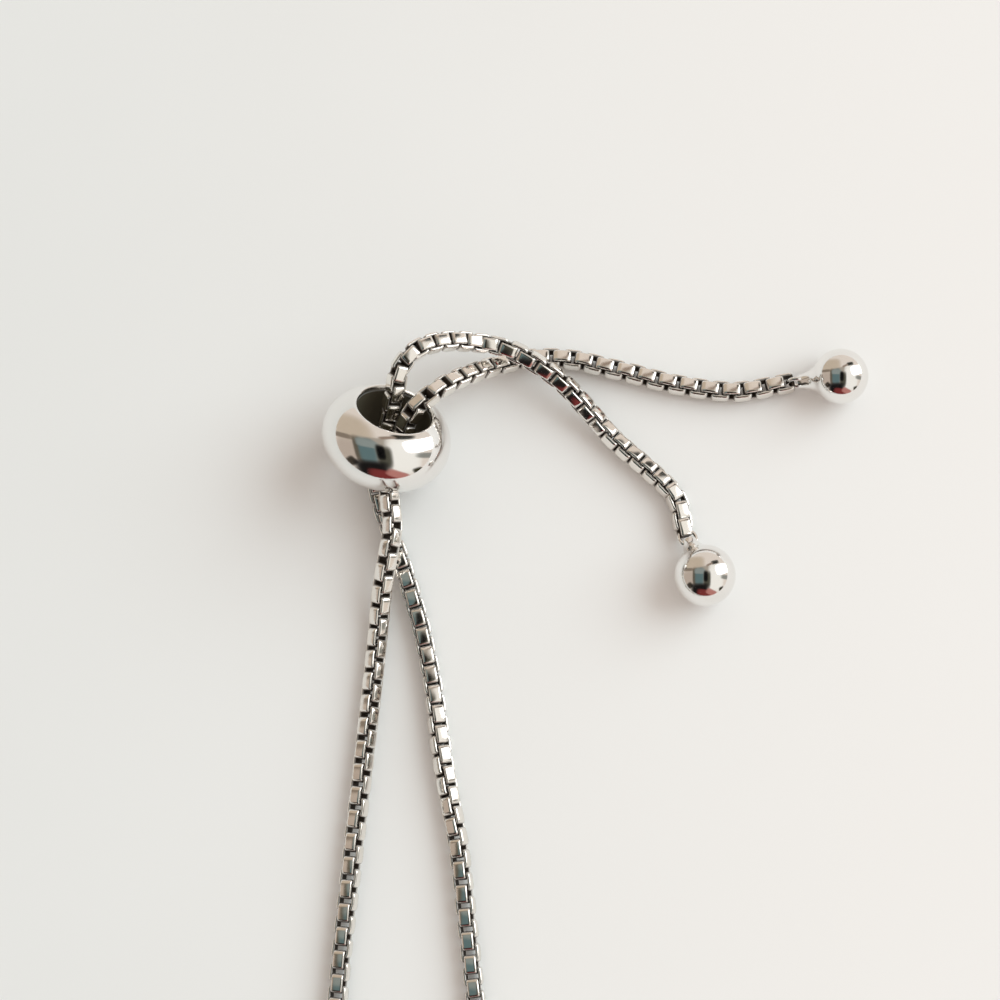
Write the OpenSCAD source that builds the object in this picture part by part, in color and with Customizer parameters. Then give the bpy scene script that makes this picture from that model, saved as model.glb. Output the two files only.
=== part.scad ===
// An adjustable bracelet, laid on a table: one box chain whose two strands pass through a
// round slider bead, with a small ball on a wire eye at each free end. Millimetres, +Z up.

/* [Chain] */
// Width of the chain across the flats of its links
chain_w = 1.32; // [1.2:0.02:1.4]
// Bevel along the four long edges of the chain's outline
chain_bevel = 0.14; // [0.06:0.02:0.2]

/* [Slider bead] */
// Outer diameter at the bead's widest place
bead_d = 9.1; // [9:0.1:9.6]
// Length from rim to rim
bead_len = 4.95; // [4.6:0.05:5.2]
// Diameter of the hole that holds both strands
bead_bore_d = 5.3; // [5.2:0.05:5.6]
// Rounding of the two rims
rim_r = 0.2; // [0.1:0.05:0.3]
// How far the hole's axis rises from the table, in degrees
bead_rise = 42; // [40:1:44]
// Turn of the hole's axis from +Y towards +X, in degrees
bead_turn = 20; // [18:1:22]

/* [End balls] */
// Diameter of the ball at the right
ball_right_d = 3.9; // [3.8:0.1:4]
// Diameter of the lower ball
ball_lower_d = 4.3; // [4.2:0.1:4.4]
// Diameter of the thin end of the neck that flares into a ball
neck_d = 0.96; // [0.9:0.02:1.02]
// From a ball's centre to the centre of its eye
eye_x = 3.2; // [3.15:0.05:3.25]
// Wire diameter of the eye
eye_wire_d = 0.28; // [0.24:0.02:0.3]
// Diameter of the hole in the eye
eye_hole_d = 0.94; // [0.9:0.02:0.96]
// Height of the centre of a lying ball's eye above the table
eye_height = 1; // [0.95:0.05:1.05]

/* [Hidden] */
$fn = 64;

// Places on the table
bead_x = -11.2;
bead_y = 38.8;
ball_right_x = 20.62;
ball_right_y = 43.5;
ball_right_turn = 185;
ball_right_eye_turn = 105;
ball_lower_x = 10.97;
ball_lower_y = 29.4;
ball_lower_turn = 112;
ball_lower_eye_turn = 16;

// The bead's section is one arc, tangent to the two small circles of the rims
bead_r = bead_d / 2;
bore_r = bead_bore_d / 2;
rim_x = bore_r + rim_r;
rim_y = bead_len / 2 - rim_r;
arc_x = (pow(bead_r - rim_r, 2) - pow(rim_x, 2) - pow(rim_y, 2)) / (2 * (bead_r - rim_r - rim_x));
arc_r = bead_r - arc_x;
arc_half_angle = atan2(rim_y, rim_x - arc_x);
bead_z = arc_x * cos(bead_rise) + arc_r;

// The near half of the eye's wire is in the neck, which ends a little short of the eye's centre
eye_r = (eye_hole_d + eye_wire_d) / 2;
neck_short_of_eye = 0.2;
neck_len = eye_x - neck_short_of_eye;

// The chain's route from the right ball through the bead, round the loop and back to the
// lower ball: x, y, height of its underside above the table, and roll about its own line
ROUTE = [
  [16.77, 43.16, 0, 15],
  [13.2, 42.6, 0, 15],
  [9.2, 43.1, 0, 15],
  [5.2, 44.1, 0, 15],
  [1.6, 44.9, 0, 15],
  [-1.4, 44.9, 0.1, 15],
  [-3.6, 44.3, 0.8, 15],
  [-5.3, 43.5, 2.3, 15],
  [-6.8, 42.6, 3.7, 15],
  [-8.1, 41.6, 4.45, 20],
  [-9.3, 40.5, 4.2, 30],
  [-10.2, 38.7, 3.1, 40],
  [-11.1, 36.8, 2.1, 45],
  [-11, 34.8, 1.75, 45],
  [-10.8, 32.8, 1.65, 45],
  [-11.1, 30.8, 1.55, 45],
  [-11.5, 28.6, 0.85, 45],
  [-11.8, 25.8, 0.15, 45],
  [-12.2, 21.8, 0, 43],
  [-12.8, 16.4, 0, 36],
  [-13.45, 10.5, 0, 27],
  [-14.15, 4, 0, 19],
  [-14.95, -3.5, 0, 15],
  [-16.9, -11.5, 0, 15],
  [-19.5, -19.5, 0, 15],
  [-21.6, -27.5, 0, 20],
  [-21.7, -35.5, 0, 30],
  [-17.6, -42.4, 0, 40],
  [-9.9, -45.5, 0, 50],
  [-2.2, -42.4, 0, 60],
  [1.9, -35.5, 0, 70],
  [1.8, -27.5, 0, 78],
  [-0.3, -19.5, 0, 84],
  [-2.8, -11.5, 0, 86],
  [-4.5, -3.5, 0, 84],
  [-5.4, 4, 0, 77],
  [-6.15, 10.5, 0, 63],
  [-7.25, 16.4, 0, 32],
  [-8, 21.8, 0, 8],
  [-8.8, 25.8, 0, 0],
  [-9.7, 29, 0, -8],
  [-10.6, 31.6, 0, -2],
  [-11.5, 34, 0.05, 3],
  [-12, 36.2, 0.35, 8],
  [-11.8, 38.2, 1.25, 10],
  [-11.1, 40.1, 2.6, 18],
  [-10.6, 41.9, 3.9, 34],
  [-10.2, 43.5, 4.7, 24],
  [-9, 44.8, 4.8, 2],
  [-7.1, 45.5, 3.9, -10],
  [-4.9, 45.6, 2.8, -4],
  [-2.8, 45.3, 2.15, 24],
  [-0.8, 44.3, 1.85, 30],
  [1.1, 43, 1.2, 31],
  [2.9, 41.2, 0.45, 42],
  [4.8, 39.1, 0.05, 56],
  [7.2, 37, 0, 62],
  [9, 35.1, 0, 74],
  [9.55, 32.91, 0, 74]
];
LAST = len(ROUTE) - 1;
// About how far apart the rings of the chain's outline are
ring_gap = 3.6;

// Height of the chain's centre over its lowest edge, for a roll of 0 to 90 degrees
function half_height(roll) =
  let (a = abs((roll + 45) % 90 - 45))
  chain_w / 2 * cos(a) + (chain_w / 2 - chain_bevel) * sin(a);

function unit(v) = v / norm(v);

// A stop of the route; past the two ends the route runs on straight
function stop_at(i) =
  i < 0 ? 2 * ROUTE[0] - ROUTE[1] :
  i > LAST ? 2 * ROUTE[LAST] - ROUTE[LAST - 1] :
  ROUTE[i];

// The smooth curve through the stops, a fraction t of the way from stop i to the next
function curve(i, t) =
  let (a = stop_at(i - 1), b = stop_at(i), c = stop_at(i + 1), d = stop_at(i + 2))
  0.5 * (2 * b + (c - a) * t + (2 * a - 5 * b + 4 * c - d) * t * t + (3 * b - 3 * c + d - a) * t * t * t);

// The same as a place on the chain's centre line
function centre(i, t) =
  let (p = curve(i, t))
  [p.x, p.y, max(0, p.z) + half_height(p[3])];

// Direction of the centre line, from two places a small fraction before and after t
function heading(i, t, small = 0.01) = unit(centre(i, t + small) - centre(i, t - small));

function steps(i) = max(1, round(norm(centre(i, 1) - centre(i, 0)) / ring_gap));

// The outline across the chain, a square with its corners bevelled
function outline() =
  let (h = chain_w / 2, b = h - chain_bevel)
  [[h, b], [b, h], [-b, h], [-h, b], [-h, -b], [-b, -h], [b, -h], [h, -b]];

// One ring of the outline, square to the route and rolled about it
function ring(i, t) =
  let (
    along = heading(i, t),
    side = unit(cross(along, [0, 0, 1])),
    up = cross(side, along),
    roll = curve(i, t)[3],
    rolled_side = side * cos(roll) - up * sin(roll),
    rolled_up = up * cos(roll) + side * sin(roll)
  )
  [for (c = outline()) centre(i, t) + c.x * rolled_side + c.y * rolled_up];

module box_chain() {
  rings = concat(
    [for (i = [0:LAST - 1], k = [0:steps(i) - 1]) ring(i, k / steps(i))],
    [ring(LAST - 1, 1)]
  );
  sides = len(outline());
  last_ring = len(rings) - 1;
  walls = [
    for (r = [0:last_ring - 1], s = [0:sides - 1])
      let (
        a = r * sides + s,
        b = r * sides + (s + 1) % sides
      )
      each [[a, b, b + sides], [a, b + sides, a + sides]]
  ];
  start_cap = [for (s = [sides - 1:-1:0]) s];
  end_cap = [for (s = [0:sides - 1]) last_ring * sides + s];
  color("silver")
    polyhedron([for (r = rings) each r], concat(walls, [start_cap, end_cap]), convexity = 10);
}

// Points of an arc from one angle to another, both ends included
function arc(x, y, r, from, to, steps) =
  [for (i = [0:steps]) let (a = from + (to - from) * i / steps) [x + r * cos(a), y + r * sin(a)]];

// The bead's section beside its axis: the lower rim, the wide arc and the upper rim, all
// tangent to one another, closed by the wall of the hole
module bead_section() {
  arc_steps = 28;
  rim_steps = 6;
  polygon(concat(
    arc(rim_x, -rim_y, rim_r, -180, -arc_half_angle, rim_steps),
    arc(arc_x, 0, arc_r, -arc_half_angle, arc_half_angle, arc_steps),
    arc(rim_x, rim_y, rim_r, arc_half_angle, 180, rim_steps)
  ));
}

module slider_bead() {
  color("gainsboro")
    translate([bead_x, bead_y, bead_z])
      rotate([0, 0, -bead_turn])
        rotate([bead_rise - 90, 0, 0])
          rotate_extrude()
            bead_section();
}

// Half of the section along a ball's neck: the ball, and a flare that is tangent to it and
// would run level at the eye's centre
module ball_section(ball_r) {
  neck_r = neck_d / 2;
  flare_r = (pow(eye_x, 2) + pow(neck_r, 2) - pow(ball_r, 2)) / (2 * (ball_r - neck_r));
  flare_start = asin(eye_x / (ball_r + flare_r));
  flare_end = asin(neck_short_of_eye / flare_r);
  ball_steps = 40;
  flare_steps = 12;
  polygon(concat(
    arc(0, 0, ball_r, -90, flare_start, ball_steps),
    arc(neck_r + flare_r, eye_x, flare_r, 180 + flare_start, 180 + flare_end, flare_steps),
    [[0, neck_len]]
  ));
}

// A ball with its neck and eye, the eye turned about the neck, and the neck along +X before it
// drops to the eye's height and is turned
module end_ball(ball_d, x, y, turn, eye_turn) {
  ball_r = ball_d / 2;
  neck_drop = asin((ball_r - eye_height) / eye_x);
  color("gainsboro")
    translate([x, y, ball_r])
      rotate([0, neck_drop, turn])
        union() {
          rotate([0, 90, 0])
            rotate_extrude()
              ball_section(ball_r);
          translate([eye_x, 0, 0])
            rotate([eye_turn, 0, 0])
              rotate_extrude()
                translate([eye_r, 0])
                  circle(eye_wire_d / 2);
        }
}

module end_ball_right() {
  end_ball(ball_right_d, ball_right_x, ball_right_y, ball_right_turn, ball_right_eye_turn);
}

module end_ball_lower() {
  end_ball(ball_lower_d, ball_lower_x, ball_lower_y, ball_lower_turn, ball_lower_eye_turn);
}

slider_bead();
end_ball_right();
end_ball_lower();
box_chain();
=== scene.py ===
"""The looks of an adjustable slider bracelet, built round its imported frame. Metres, +Z up."""

import math
import random

import bpy
import numpy as np
from mathutils import Matrix, Vector


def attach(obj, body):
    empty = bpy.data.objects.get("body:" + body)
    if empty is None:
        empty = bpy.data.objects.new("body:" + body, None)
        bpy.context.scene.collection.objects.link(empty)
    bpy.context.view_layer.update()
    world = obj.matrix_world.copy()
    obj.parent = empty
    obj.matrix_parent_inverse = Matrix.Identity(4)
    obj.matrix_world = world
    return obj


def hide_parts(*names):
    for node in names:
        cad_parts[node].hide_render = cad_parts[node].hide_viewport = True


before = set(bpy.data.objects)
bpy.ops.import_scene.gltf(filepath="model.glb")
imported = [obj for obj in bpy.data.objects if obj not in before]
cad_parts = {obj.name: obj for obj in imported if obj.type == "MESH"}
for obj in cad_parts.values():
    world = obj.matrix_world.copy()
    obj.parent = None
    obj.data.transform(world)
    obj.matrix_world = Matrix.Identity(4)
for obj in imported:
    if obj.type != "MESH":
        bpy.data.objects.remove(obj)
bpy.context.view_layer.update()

MM = 0.001

# The chain's route from the right ball through the bead, round the loop and back to the
# lower ball: x, y, height of its underside above the table, and roll about its own line
ROUTE = [
    (0.01677, 0.04316, 0, 15),
    (0.0132, 0.0426, 0, 15),
    (0.0092, 0.0431, 0, 15),
    (0.0052, 0.0441, 0, 15),
    (0.0016, 0.0449, 0, 15),
    (-0.0014, 0.0449, 0.0001, 15),
    (-0.0036, 0.0443, 0.0008, 15),
    (-0.0053, 0.0435, 0.0023, 15),
    (-0.0068, 0.0426, 0.0037, 15),
    (-0.0081, 0.0416, 0.00445, 20),
    (-0.0093, 0.0405, 0.0042, 30),
    (-0.0102, 0.0387, 0.0031, 40),
    (-0.0111, 0.0368, 0.0021, 45),
    (-0.011, 0.0348, 0.00175, 45),
    (-0.0108, 0.0328, 0.00165, 45),
    (-0.0111, 0.0308, 0.00155, 45),
    (-0.0115, 0.0286, 0.00085, 45),
    (-0.0118, 0.0258, 0.00015, 45),
    (-0.0122, 0.0218, 0, 43),
    (-0.0128, 0.0164, 0, 36),
    (-0.01345, 0.0105, 0, 27),
    (-0.01415, 0.004, 0, 19),
    (-0.01495, -0.0035, 0, 15),
    (-0.0169, -0.0115, 0, 15),
    (-0.0195, -0.0195, 0, 15),
    (-0.0216, -0.0275, 0, 20),
    (-0.0217, -0.0355, 0, 30),
    (-0.0176, -0.0424, 0, 40),
    (-0.0099, -0.0455, 0, 50),
    (-0.0022, -0.0424, 0, 60),
    (0.0019, -0.0355, 0, 70),
    (0.0018, -0.0275, 0, 78),
    (-0.0003, -0.0195, 0, 84),
    (-0.0028, -0.0115, 0, 86),
    (-0.0045, -0.0035, 0, 84),
    (-0.0054, 0.004, 0, 77),
    (-0.00615, 0.0105, 0, 63),
    (-0.00725, 0.0164, 0, 32),
    (-0.008, 0.0218, 0, 8),
    (-0.0088, 0.0258, 0, 0),
    (-0.0097, 0.029, 0, -8),
    (-0.0106, 0.0316, 0, -2),
    (-0.0115, 0.034, 0.00005, 3),
    (-0.012, 0.0362, 0.00035, 8),
    (-0.0118, 0.0382, 0.00125, 10),
    (-0.0111, 0.0401, 0.0026, 18),
    (-0.0106, 0.0419, 0.0039, 34),
    (-0.0102, 0.0435, 0.0047, 24),
    (-0.009, 0.0448, 0.0048, 2),
    (-0.0071, 0.0455, 0.0039, -10),
    (-0.0049, 0.0456, 0.0028, -4),
    (-0.0028, 0.0453, 0.00215, 24),
    (-0.0008, 0.0443, 0.00185, 30),
    (0.0011, 0.043, 0.0012, 31),
    (0.0029, 0.0412, 0.00045, 42),
    (0.0048, 0.0391, 0.00005, 56),
    (0.0072, 0.037, 0, 62),
    (0.009, 0.0351, 0, 74),
    (0.00955, 0.03291, 0, 74),
]

# The stops of the route, whole or in between, that some of the links lie at. 0.83 mm from link
# to link is taut, and a slack chain is pushed together
LINKS_BY_STOP = [
    (0.43, 3), (3.93, 21), (13.57, 49), (15.88, 55), (18.1, 65), (19.53, 75), (21.49, 91),
    (35.76, 233), (36.25, 237), (37.23, 245), (38.02, 251), (39.43, 259), (47.97, 287),
    (50.68, 297), (53.77, 307), (55.13, 313), (56.85, 321),
]
# The first and the last link lie at the ends of the route, round the wire of the end balls'
# eyes, and the links beside them are spaced as if these two lay this much further out
FIRST_LINK = 1
LAST_LINK = 325
LINK_PAST_END = 0.18 * MM

# The outline of the chain, which its links fill
CHAIN_W = 1.32 * MM
CHAIN_BEVEL = 0.14 * MM

# One link: a flat strip bent into a rounded box, which is an ellipse with its powers raised
# from 2 to this squareness, in this many rows of points
LINK_LENGTH = 1.34 * MM
LINK_SQUARENESS = 5
LINK_ROWS = 24
STRIP_W = 0.82 * MM
STRIP_T = 0.24 * MM
# Half of the strip's section, from its outer to its inner face: how far each point stands out in
# thicknesses of the strip, how far across in half widths, and how much painted shade it gets inside the
# link
STRIP_SECTION = [
    (0, 0.6, 0), (-0.06, 0.85, 0), (-0.22, 0.96, 0), (-0.5, 1, 0), (-0.85, 0.95, 0.6), (-1, 0.75, 1),
]
# How far along the chain a link's outside faces where its painted shade starts and where it is
# wholly dark, with 1 for straight along: the ends of a link stand in the shaded gaps between links
END_FACES = (0.75, 0.93)

# How near a link comes to the next one on the same face, and how far to both sides of its
# middle it takes its direction from the route
LINK_CLEARANCE = 0.05 * MM
LINK_REACH = 0.3 * LINK_LENGTH
# The most that a link rolls, in degrees, and leans, as a share of its direction, by chance
ROLL_PLAY = 2.5
TILT_PLAY = 0.03
PLAY_SEED = 7

# The slider bead
BEAD_AT = (-11.2 * MM, 38.8 * MM)
BEAD_D = 9.1 * MM
BEAD_LEN = 4.95 * MM
BORE_D = 5.3 * MM
RIM_R = 0.2 * MM
BEAD_RISE = math.radians(42)
BEAD_TURN = math.radians(20)
# How deep the hole's wall is as bright as the outside; deeper in, the wall gets painted shade
BORE_SHINE = 0.25 * MM

# The necks and eyes of the end balls
NECK_D = 0.96 * MM
NECK_SHORT_OF_EYE = 0.2 * MM
EYE_X = 3.2 * MM
EYE_HEIGHT = 1 * MM
EYE_WIRE_D = 0.28 * MM
EYE_HOLE_D = 0.94 * MM
# Each ball's diameter, place along X and Y, direction of its neck, and turn of its eye about the neck
BALLS = {
    "end_ball_right": (3.9 * MM, 20.62 * MM, 43.5 * MM, math.radians(185), math.radians(105)),
    "end_ball_lower": (4.3 * MM, 10.97 * MM, 29.4 * MM, math.radians(112), math.radians(16)),
}

# Where a mesh turns by more than this many degrees, its edge is sharp
SHARP_ANGLE = 30
LINK_SHARP_ANGLE = 60

# The camera stands where the photograph was taken from
CAMERA_TARGET = Vector((-3.3 * MM, 35 * MM, 0))
CAMERA_ELEVATION = math.radians(82)
CAMERA_DISTANCE = 260 * MM
VIEW_WIDTH = 70.42 * MM
SENSOR = 36

# The metals: colour where new, where worn and of the painted shade in the hollows, roughness,
# strength of the scratches, and whether each link has a tone of its own
METALS = {
    "polished_metal": (
        (0.88, 0.87, 0.85), (0.80, 0.78, 0.75), (0.11, 0.095, 0.065), 0.07, 0.05, False,
    ),
    "chain_metal": (
        (0.88, 0.85, 0.805), (0.78, 0.735, 0.675), (0.065, 0.05, 0.038), 0.09, 0.12, True,
    ),
}
SCRATCH_DEPTH = 0.01 * MM
GLOSS = 0.5
# The most wear that haze and a link's own tone bring
HAZE_WEAR = 0.35
TONE_WEAR = 0.4
# How much rougher, less metallic and less glossy a place with painted shade is
PAINTED_SHADE_ROUGHER = 0.4
PAINTED_SHADE_LESS_METAL = 0.8
PAINTED_SHADE_LESS_GLOSS = 0.4

# The floor: half of its width, its finish, and its colour, with painted shade that changes it from the
# first colour to the second between two places along X, and faint pale clouds over it
FLOOR_HALF = 2
FLOOR_ROUGHNESS = 0.75
FLOOR_GLOSS = 0.2
FLOOR_SHADE_ACROSS = (-60 * MM, 45 * MM)
FLOOR_COLOURS = ((0.785, 0.785, 0.76, 1), (0.915, 0.883, 0.85, 1))
CLOUD_COLOUR = (0.92, 0.915, 0.90, 1)
CLOUD_SHARE = 0.12


def camera():
    """The photograph's view: nearly straight down, with +Y up the picture."""
    data = bpy.data.cameras.new("camera")
    data.sensor_width = SENSOR
    data.lens = SENSOR * CAMERA_DISTANCE / VIEW_WIDTH
    data.clip_start = 0.01
    data.clip_end = 20
    obj = bpy.data.objects.new("camera", data)
    back = Vector((0, -math.cos(CAMERA_ELEVATION), math.sin(CAMERA_ELEVATION)))
    obj.location = CAMERA_TARGET + back * CAMERA_DISTANCE
    obj.rotation_mode = "QUATERNION"
    obj.rotation_quaternion = (-back).to_track_quat("-Z", "Y")
    bpy.context.scene.collection.objects.link(obj)
    bpy.context.scene.camera = obj


def unit(v):
    return v / np.linalg.norm(v)


def half_height(roll):
    """Height of the chain's centre over its lowest edge at a roll in degrees."""
    a = math.radians(abs((roll + 45) % 90 - 45))
    return CHAIN_W / 2 * math.cos(a) + (CHAIN_W / 2 - CHAIN_BEVEL) * math.sin(a)


def route_line(steps=60):
    """Places and rolls closely spaced along the route, and the stop that each is at."""
    stops = np.array(ROUTE, float)
    stops = np.vstack([2 * stops[0] - stops[1], stops, 2 * stops[-1] - stops[-2]])
    rows = []
    at_stop = []
    for i in range(len(ROUTE) - 1):
        a, b, c, d = stops[i:i + 4]
        for k in range(steps):
            t = k / steps
            rows.append(0.5 * (
                2 * b + (c - a) * t + (2 * a - 5 * b + 4 * c - d) * t ** 2
                + (3 * b - 3 * c + d - a) * t ** 3
            ))
            at_stop.append(i + t)
    rows.append(stops[-2])
    at_stop.append(len(ROUTE) - 1)
    rows = np.array(rows)
    rolls = rows[:, 3]
    heights = np.maximum(0, rows[:, 2]) + [half_height(r) for r in rolls]
    return np.column_stack([rows[:, :2], heights]), rolls, np.array(at_stop)


def link_form():
    """One link along X, its ring in the XY plane: its points, how much painted shade each gets, and points
    a row.
    """
    other_half = [(out, -across, inside) for out, across, inside in reversed(STRIP_SECTION)]
    section = STRIP_SECTION + other_half
    steep = LINK_SQUARENESS - 2
    points = []
    hidden = []
    for k in range(LINK_ROWS):
        a = 2 * math.pi * (k + 0.5) / LINK_ROWS
        x = math.copysign(abs(math.cos(a)) ** (2 / LINK_SQUARENESS), math.cos(a))
        y = math.copysign(abs(math.sin(a)) ** (2 / LINK_SQUARENESS), math.sin(a))
        outward = unit(np.array([x * abs(x) ** steep / LINK_LENGTH, y * abs(y) ** steep / CHAIN_W]))
        # The ends of a link, in the gaps between links, get painted shade
        recess = float(np.interp(abs(outward[0]), END_FACES, (0, 1)))
        for out, across, inside in section:
            points.append((
                x * LINK_LENGTH / 2 + out * STRIP_T * outward[0],
                y * CHAIN_W / 2 + out * STRIP_T * outward[1],
                across * STRIP_W / 2,
            ))
            hidden.append(max(inside, recess))
    return np.array(points), hidden, len(section)


def ring_faces(rows, columns, start=0):
    """Quads of a closed tube whose points come in rows."""
    return [
        (
            start + r * columns + c,
            start + (r + 1) % rows * columns + c,
            start + (r + 1) % rows * columns + (c + 1) % columns,
            start + r * columns + (c + 1) % columns,
        )
        for r in range(rows)
        for c in range(columns)
    ]


def mesh_object(name, points, faces, sharp_angle=SHARP_ANGLE, **values):
    """A smooth mesh with the values that its material reads at each point."""
    mesh = bpy.data.meshes.new(name)
    mesh.from_pydata([tuple(p) for p in points], [], faces)
    mesh.shade_smooth()
    mesh.set_sharp_from_angle(angle=math.radians(sharp_angle))
    for key, numbers in values.items():
        mesh.attributes.new(key, "FLOAT", "POINT").data.foreach_set("value", numbers)
    obj = bpy.data.objects.new(name, mesh)
    bpy.context.scene.collection.objects.link(obj)
    return obj


def chain_links():
    """Every link of the chain, each through the next, its ring turned a quarter from its neighbour's."""
    places, rolls, at_stop = route_line()
    walked = np.concatenate([[0], np.cumsum(np.linalg.norm(np.diff(places, axis=0), axis=1))])
    stops, numbers = zip(*LINKS_BY_STOP)
    known_numbers = [FIRST_LINK, *numbers, LAST_LINK]
    known_places = [-LINK_PAST_END, *np.interp(stops, at_stop, walked), walked[-1] + LINK_PAST_END]
    link_numbers = range(FIRST_LINK, LAST_LINK + 1)
    link_places = np.interp(link_numbers, known_numbers, known_places)

    def place(s):
        """The centre line at a distance along the route, held at its two ends."""
        return np.array([np.interp(s, walked, places[:, k]) for k in range(3)])

    pitches = np.gradient(link_places)
    lengths = np.minimum(LINK_LENGTH, 2 * pitches - LINK_CLEARANCE)
    form, hidden, columns = link_form()
    rng = random.Random(PLAY_SEED)
    points = []
    faces = []
    tones = []
    for number, s, length in zip(link_numbers, link_places, lengths):
        along = unit(place(s + LINK_REACH) - place(s - LINK_REACH))
        along = unit(along + np.array([rng.uniform(-TILT_PLAY, TILT_PLAY) for _ in range(3)]))
        side = unit(np.cross((0, 0, 1), along))
        up = np.cross(along, side)
        roll = math.radians(np.interp(s, walked, rolls) + rng.uniform(-ROLL_PLAY, ROLL_PLAY))
        if number % 2 == 0:
            roll += math.pi / 2
        ring_side = side * math.cos(roll) + up * math.sin(roll)
        ring_up = up * math.cos(roll) - side * math.sin(roll)
        faces += ring_faces(LINK_ROWS, columns, len(points))
        points += list(place(s) + form @ np.array([along * length / LINK_LENGTH, ring_side, ring_up]))
        tones += [rng.random()] * len(form)
    hidden = hidden * len(link_places)
    return mesh_object("box_chain_links", points, faces, LINK_SHARP_ANGLE, tone=tones, hidden=hidden)


def arc(x, y, r, start, end, steps):
    """Points of an arc between two angles in radians, both ends included."""
    angles = [start + (end - start) * i / steps for i in range(steps + 1)]
    return [(x + r * math.cos(a), y + r * math.sin(a)) for a in angles]


def lathe(profile, turns, closed):
    """Points and faces of a profile of (radius, height) turned about Z."""
    points = []
    for k in range(turns):
        a = 2 * math.pi * k / turns
        points += [(r * math.cos(a), r * math.sin(a), h) for r, h in profile]
    n = len(profile)
    faces = ring_faces(turns, n)
    if not closed:
        faces = [f for i, f in enumerate(faces) if i % n != n - 1]
    return points, faces


def slider_bead():
    """The bead: a wide arc between two rounded rims, round a plain hole."""
    rim_steps = 10
    wide_steps = 72
    turns = 160
    rim_x = BORE_D / 2 + RIM_R
    rim_y = BEAD_LEN / 2 - RIM_R
    reach = BEAD_D / 2 - RIM_R
    arc_x = (reach ** 2 - rim_x ** 2 - rim_y ** 2) / (2 * (reach - rim_x))
    arc_r = BEAD_D / 2 - arc_x
    half = math.atan2(rim_y, rim_x - arc_x)
    bright = (
        arc(rim_x, -rim_y, RIM_R, -math.pi, -half, rim_steps)
        + arc(arc_x, 0, arc_r, -half, half, wide_steps)[1:]
        + arc(rim_x, rim_y, RIM_R, half, math.pi, rim_steps)[1:]
    )
    # Deeper in, the hole's wall gets painted shade
    dark = [(BORE_D / 2, rim_y - BORE_SHINE), (BORE_D / 2, BORE_SHINE - rim_y)]
    points, faces = lathe(bright + dark, turns, closed=True)
    hidden = ([0] * len(bright) + [1] * len(dark)) * turns
    obj = mesh_object("slider_bead_polished", points, faces, hidden=hidden)
    tilt = Matrix.Rotation(-BEAD_TURN, 4, "Z") @ Matrix.Rotation(BEAD_RISE - math.pi / 2, 4, "X")
    centre_z = arc_x * math.cos(BEAD_RISE) + arc_r
    obj.data.transform(Matrix.Translation((*BEAD_AT, centre_z)) @ tilt)
    return obj


def end_ball(name, ball_d, x, y, turn, eye_turn):
    """A ball that flares into a neck, and the wire eye that a link at the chain's end goes round."""
    ball_steps = 60
    flare_steps = 20
    ball_turns = 96
    wire_steps = 24
    eye_turns = 64
    ball_r = ball_d / 2
    neck_r = NECK_D / 2
    flare_r = (EYE_X ** 2 + neck_r ** 2 - ball_r ** 2) / (2 * (ball_r - neck_r))
    flare_start = math.asin(EYE_X / (ball_r + flare_r))
    flare_end = math.asin(NECK_SHORT_OF_EYE / flare_r)
    flare = arc(
        neck_r + flare_r, EYE_X, flare_r, math.pi + flare_start, math.pi + flare_end, flare_steps,
    )
    profile = arc(0, 0, ball_r, -math.pi / 2, flare_start, ball_steps) + flare[1:]
    profile[0] = (0, -ball_r)
    profile.append((0, EYE_X - NECK_SHORT_OF_EYE))
    points, faces = lathe(profile, ball_turns, closed=False)
    points = [(along, across, up) for across, up, along in points]

    wire = arc((EYE_HOLE_D + EYE_WIRE_D) / 2, 0, EYE_WIRE_D / 2, 0, 2 * math.pi, wire_steps)[:-1]
    eye_points, eye_faces = lathe(wire, eye_turns, closed=True)
    c = math.cos(eye_turn)
    s = math.sin(eye_turn)
    faces += [tuple(i + len(points) for i in f) for f in eye_faces]
    points += [(px + EYE_X, py * c - pz * s, py * s + pz * c) for px, py, pz in eye_points]

    obj = mesh_object(name + "_polished", points, faces, hidden=[0] * len(points))
    neck_drop = math.asin((ball_r - EYE_HEIGHT) / EYE_X)
    lie = Matrix.Rotation(turn, 4, "Z") @ Matrix.Rotation(neck_drop, 4, "Y")
    obj.data.transform(Matrix.Translation((x, y, ball_r)) @ lie)
    return obj


class Nodes:
    """A short way to write a node tree."""

    def __init__(self, tree):
        self.tree = tree
        tree.nodes.clear()

    def add(self, kind, inputs=None, **settings):
        node = self.tree.nodes.new(kind)
        for key, value in settings.items():
            setattr(node, key, value)
        for key, value in (inputs or {}).items():
            if isinstance(value, bpy.types.NodeSocket):
                self.tree.links.new(value, node.inputs[key])
            else:
                node.inputs[key].default_value = value
        return node

    def math(self, operation, *values, clamp=False):
        node = self.add("ShaderNodeMath", dict(enumerate(values)), operation=operation, use_clamp=clamp)
        return node.outputs[0]

    def dot(self, a, b):
        return self.add("ShaderNodeVectorMath", {0: a, 1: b}, operation="DOT_PRODUCT").outputs["Value"]

    def mix(self, factor, a, b):
        return self.add("ShaderNodeMix", {"Factor": factor, 6: a, 7: b}, data_type="RGBA").outputs[2]

    def ramp(self, value, low, high):
        inputs = {"Value": value, "From Min": low, "From Max": high}
        return self.add("ShaderNodeMapRange", inputs, interpolation_type="SMOOTHSTEP").outputs[0]


def material(name):
    mat = bpy.data.materials.new(name)
    mat.use_nodes = True
    return mat, Nodes(mat.node_tree)


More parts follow.
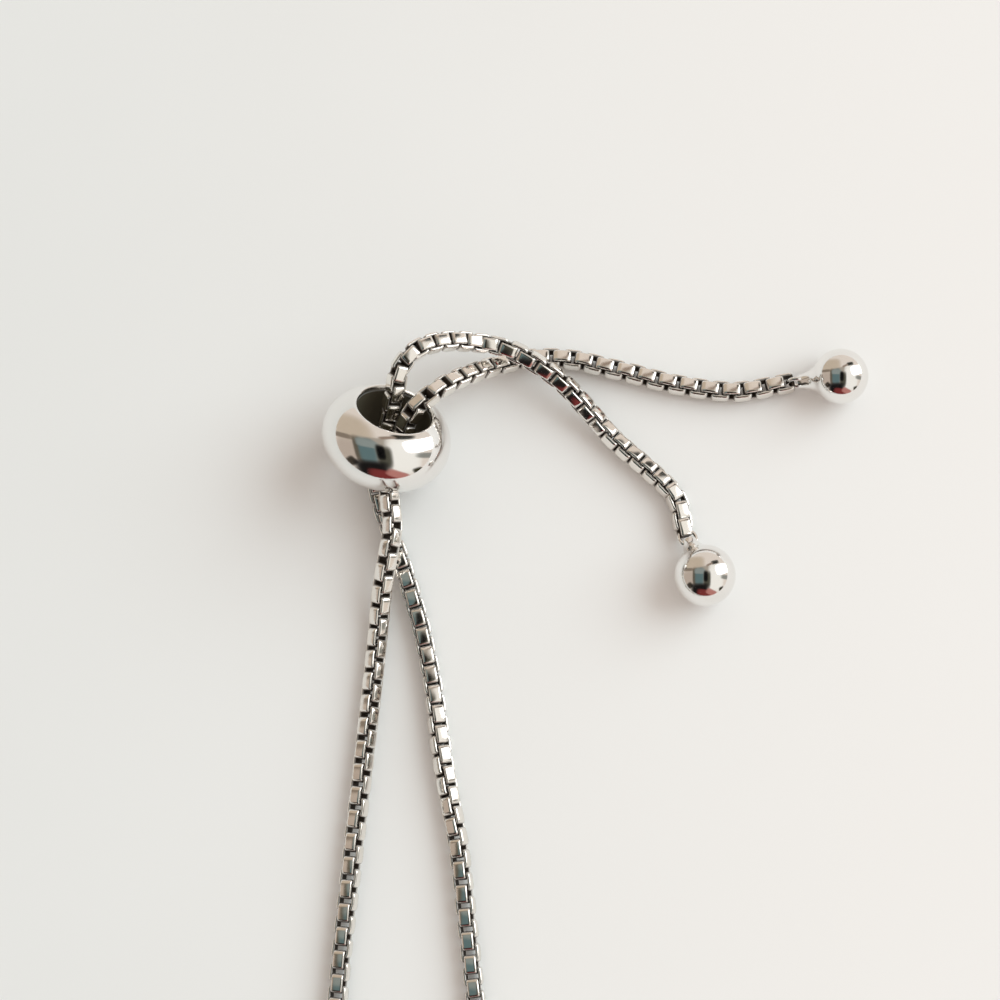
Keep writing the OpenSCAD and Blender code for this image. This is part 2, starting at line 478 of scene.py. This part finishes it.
def metal(name, colour, worn_colour, painted_shade_colour, roughness, scratch, own_tones):
    """Polished silver-coloured metal: hairline scratches, faint haze, and painted shade that makes it dull
    and dark in its hollows.
    """
    mat, n = material(name)
    at = n.add("ShaderNodeTexCoord").outputs["Object"]
    haze = n.add("ShaderNodeTexNoise", {"Vector": at, "Scale": 420, "Detail": 3, "Roughness": 0.6})
    hair_at = n.add("ShaderNodeMapping", {"Vector": at, "Scale": (1, 14, 3), "Rotation": (0.4, 0.3, 0.7)})
    hair = n.add("ShaderNodeTexNoise", {
        "Vector": hair_at.outputs[0], "Scale": 2600, "Detail": 4, "Roughness": 0.7,
    })
    worn = n.math("MULTIPLY", n.ramp(haze.outputs[0], 0.45, 0.75), HAZE_WEAR)
    if own_tones:
        tone = n.add("ShaderNodeAttribute", attribute_name="tone").outputs["Fac"]
        worn = n.math("ADD", worn, n.math("MULTIPLY", tone, TONE_WEAR), clamp=True)
    # Painted shade in the hollows: darker, duller and rougher metal
    hidden = n.add("ShaderNodeAttribute", attribute_name="hidden").outputs["Fac"]
    base = n.mix(hidden, n.mix(worn, (*colour, 1), (*worn_colour, 1)), (*painted_shade_colour, 1))
    rough = n.math("ADD", roughness, n.math("MULTIPLY", worn, roughness))
    rough = n.math("ADD", rough, n.math("MULTIPLY", hidden, PAINTED_SHADE_ROUGHER))
    metallic = n.math("SUBTRACT", 1, n.math("MULTIPLY", hidden, PAINTED_SHADE_LESS_METAL))
    gloss = n.math("SUBTRACT", GLOSS, n.math("MULTIPLY", hidden, PAINTED_SHADE_LESS_GLOSS))
    bump = n.add("ShaderNodeBump", {
        "Height": hair.outputs[0], "Strength": scratch, "Distance": SCRATCH_DEPTH,
    })
    shader = n.add("ShaderNodeBsdfPrincipled", {
        "Base Color": base, "Metallic": metallic, "Roughness": rough, "Specular IOR Level": gloss,
        "Normal": bump.outputs[0],
    })
    n.add("ShaderNodeOutputMaterial", {"Surface": shader.outputs[0]})
    return mat


def table_paper():
    """The plain pale floor, with painted shade that makes it hardly darker towards -X, and a barely visible
    tone in it.
    """
    mat, n = material("pale_floor")
    at = n.add("ShaderNodeTexCoord").outputs["Object"]
    noise = n.add("ShaderNodeTexNoise", {"Vector": at, "Scale": 30, "Detail": 2})
    across = n.add("ShaderNodeSeparateXYZ", {0: at}).outputs[0]
    # Painted shade: the floor's colour darkens towards -X, away from the lamp's side
    base = n.mix(n.ramp(across, *FLOOR_SHADE_ACROSS), *FLOOR_COLOURS)
    cloud = n.math("MULTIPLY", n.ramp(noise.outputs[0], 0.3, 0.7), CLOUD_SHARE)
    shader = n.add("ShaderNodeBsdfPrincipled", {
        "Base Color": n.mix(cloud, base, CLOUD_COLOUR), "Roughness": FLOOR_ROUGHNESS,
        "Specular IOR Level": FLOOR_GLOSS,
    })
    n.add("ShaderNodeOutputMaterial", {"Surface": shader.outputs[0]})
    return mat


def floor():
    """A wide plain sheet for the bracelet to lie on."""
    h = FLOOR_HALF
    obj = mesh_object("floor", [(-h, -h, 0), (h, -h, 0), (h, h, 0), (-h, h, 0)], [(0, 1, 2, 3)])
    obj.data.materials.append(table_paper())


# What the metal mirrors, as seen from the table and painted over one another in this order.
# Each is a rounded rectangle: its middle in degrees towards +X and +Y from the camera's place,
# half width and half height in degrees, turn in degrees, softness of its edge, strength, tint
SURROUNDINGS = {
    "warm_wall": (-48, 45, 34, 26, 0, 0.5, 0.56, (1, 0.83, 0.65)),
    "wall_shade": (-2, 27, 16, 7, 10, 0.6, 0.40, (1, 0.88, 0.74)),
    "brown_wall": (-63, -10, 23, 22, 0, 0.5, 0.50, (1, 0.83, 0.70)),
    "brown_ledge": (-72, 24, 20, 5, 0, 0.5, 0.24, (1, 0.80, 0.62)),
    "left_dark": (-62, -40, 10, 9, 40, 0.5, 0.05, (1, 0.8, 0.6)),
    "bright_wall": (40, -8, 23, 42, 0, 0.5, 0.95, (1, 0.97, 0.91)),
    "window": (68, 27, 26, 17, 14, 0.25, 4.5, (1, 1, 1)),
    "sill": (88, -8, 24, 7, -8, 0.4, 0.27, (1, 1, 0.9)),
    "dark_bar": (37, 52, 12, 6, 14, 0.5, 0.02, (1, 0.75, 0.4)),
    "brown_bar": (15, 43, 10, 3, 24, 0.6, 0.30, (1, 0.75, 0.58)),
    "right_dark": (66, -58, 8, 11, 20, 0.6, 0.03, (1, 0.85, 0.35)),
    "dim_edge": (-41, -3, 7, 26, 0, 0.5, 0.12, (1, 0.85, 0.62)),
    "teal_sheet": (-23, -4, 14, 28, 0, 0.45, 0.18, (0.62, 0.97, 1)),
    "sheet_top": (-22, 17, 14, 7, 0, 0.7, 0.31, (0.84, 0.95, 0.9)),
    "olive_slab": (5, -13, 10, 23, 0, 0.6, 0.08, (1, 0.95, 0.7)),
    "black_slab": (0, -2, 6, 16, 0, 0.5, 0.003, (1, 1, 1)),
    "black_cloth": (-22, -56, 30, 23, 4, 0.4, 0.008, (1, 0.85, 0.85)),
    "red_cloth": (5, -71, 27, 12, -8, 0.6, 0.19, (1, 0.17, 0.16)),
    "pink_cloth": (24, -66, 16, 9, -30, 0.6, 0.48, (1, 0.42, 0.36)),
}
# What it mirrors between them, and what a view along the table sees past the floor
ROOM_COLOUR = (0.78, 0.695, 0.62)
BACKDROP_COLOUR = (0.86, 0.855, 0.84)

# The soft light on the table: a warm dome and, on the window's side of it, a broad cooler
# lamp, which grows between these two cosines of the angle from its middle
DOME_COLOUR = (0.67, 0.61, 0.57)
LAMP_TOWARDS = Vector((0.75, 0.35, 0.56)).normalized()
LAMP_SPREAD = (0.8, 0.98)
LAMP_COLOUR = (3.35, 3.8, 4.0)


def mirrored_room(n, ray):
    """The room that polished metal on the table mirrors, painted from its list."""
    ahead = n.dot(ray, (0, -math.cos(CAMERA_ELEVATION), math.sin(CAMERA_ELEVATION)))
    right = n.dot(ray, (1, 0, 0))
    up = n.dot(ray, (0, math.sin(CAMERA_ELEVATION), math.cos(CAMERA_ELEVATION)))
    around = n.math("ARCTAN2", up, right)
    away = n.math("MULTIPLY", n.math("ARCCOSINE", ahead), math.degrees(1))
    spot = n.add("ShaderNodeCombineXYZ", {
        0: n.math("MULTIPLY", away, n.math("COSINE", around)),
        1: n.math("MULTIPLY", away, n.math("SINE", around)),
    }).outputs[0]
    colour = (*ROOM_COLOUR, 1)
    for x, y, wide, high, turn, soft, strength, tint in SURROUNDINGS.values():
        inside = n.add("ShaderNodeMapping", {
            "Vector": spot, "Location": (x, y, 0), "Rotation": (0, 0, math.radians(turn)),
            "Scale": (wide, high, 1),
        }, vector_type="TEXTURE").outputs[0]
        squared = n.add("ShaderNodeVectorMath", {0: inside, 1: inside}, operation="MULTIPLY").outputs[0]
        fourth_powers = n.dot(squared, squared)
        covered = n.ramp(fourth_powers, (1 + soft) ** 4, (1 - soft) ** 4)
        colour = n.mix(covered, colour, (*[c * strength for c in tint], 1))
    return colour


def surroundings():
    """A plain soft light on the table, and the room with its window that the metal mirrors."""
    world = bpy.data.worlds.new("room")
    world.use_nodes = True
    bpy.context.scene.world = world
    n = Nodes(world.node_tree)
    ray = n.add("ShaderNodeTexCoord").outputs["Generated"]
    path = n.add("ShaderNodeLightPath")
    lamp = n.ramp(n.dot(ray, LAMP_TOWARDS), *LAMP_SPREAD)
    soft_light = n.add("ShaderNodeBackground", {"Color": n.mix(lamp, (*DOME_COLOUR, 1), (*LAMP_COLOUR, 1))})
    room = n.add("ShaderNodeBackground", {"Color": mirrored_room(n, ray)})
    backdrop = n.add("ShaderNodeBackground", {"Color": (*BACKDROP_COLOUR, 1)})
    light = n.add("ShaderNodeMixShader", {
        0: path.outputs["Is Glossy Ray"], 1: soft_light.outputs[0], 2: room.outputs[0],
    })
    light = n.add("ShaderNodeMixShader", {
        0: path.outputs["Is Camera Ray"], 1: light.outputs[0], 2: backdrop.outputs[0],
    })
    n.add("ShaderNodeOutputWorld", {"Surface": light.outputs[0]})


camera()
surroundings()
floor()
finishes = {slot: metal(slot, *look) for slot, look in METALS.items()}

# Each piece, the node that it stands for and its material slot
pieces = [
    (slider_bead(), "slider_bead", "polished_metal"),
    (chain_links(), "box_chain", "chain_metal"),
]
for ball, measures in BALLS.items():
    pieces.append((end_ball(ball, *measures), ball, "polished_metal"))
for piece, node, slot in pieces:
    piece.data.materials.append(finishes[slot])
    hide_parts(node)
    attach(piece, "root")

scene = bpy.context.scene
scene.view_settings.view_transform = "Standard"
scene.cycles.max_bounces = 6
scene.cycles.glossy_bounces = 5
scene.cycles.diffuse_bounces = 2

bpy.context.view_layer.update()
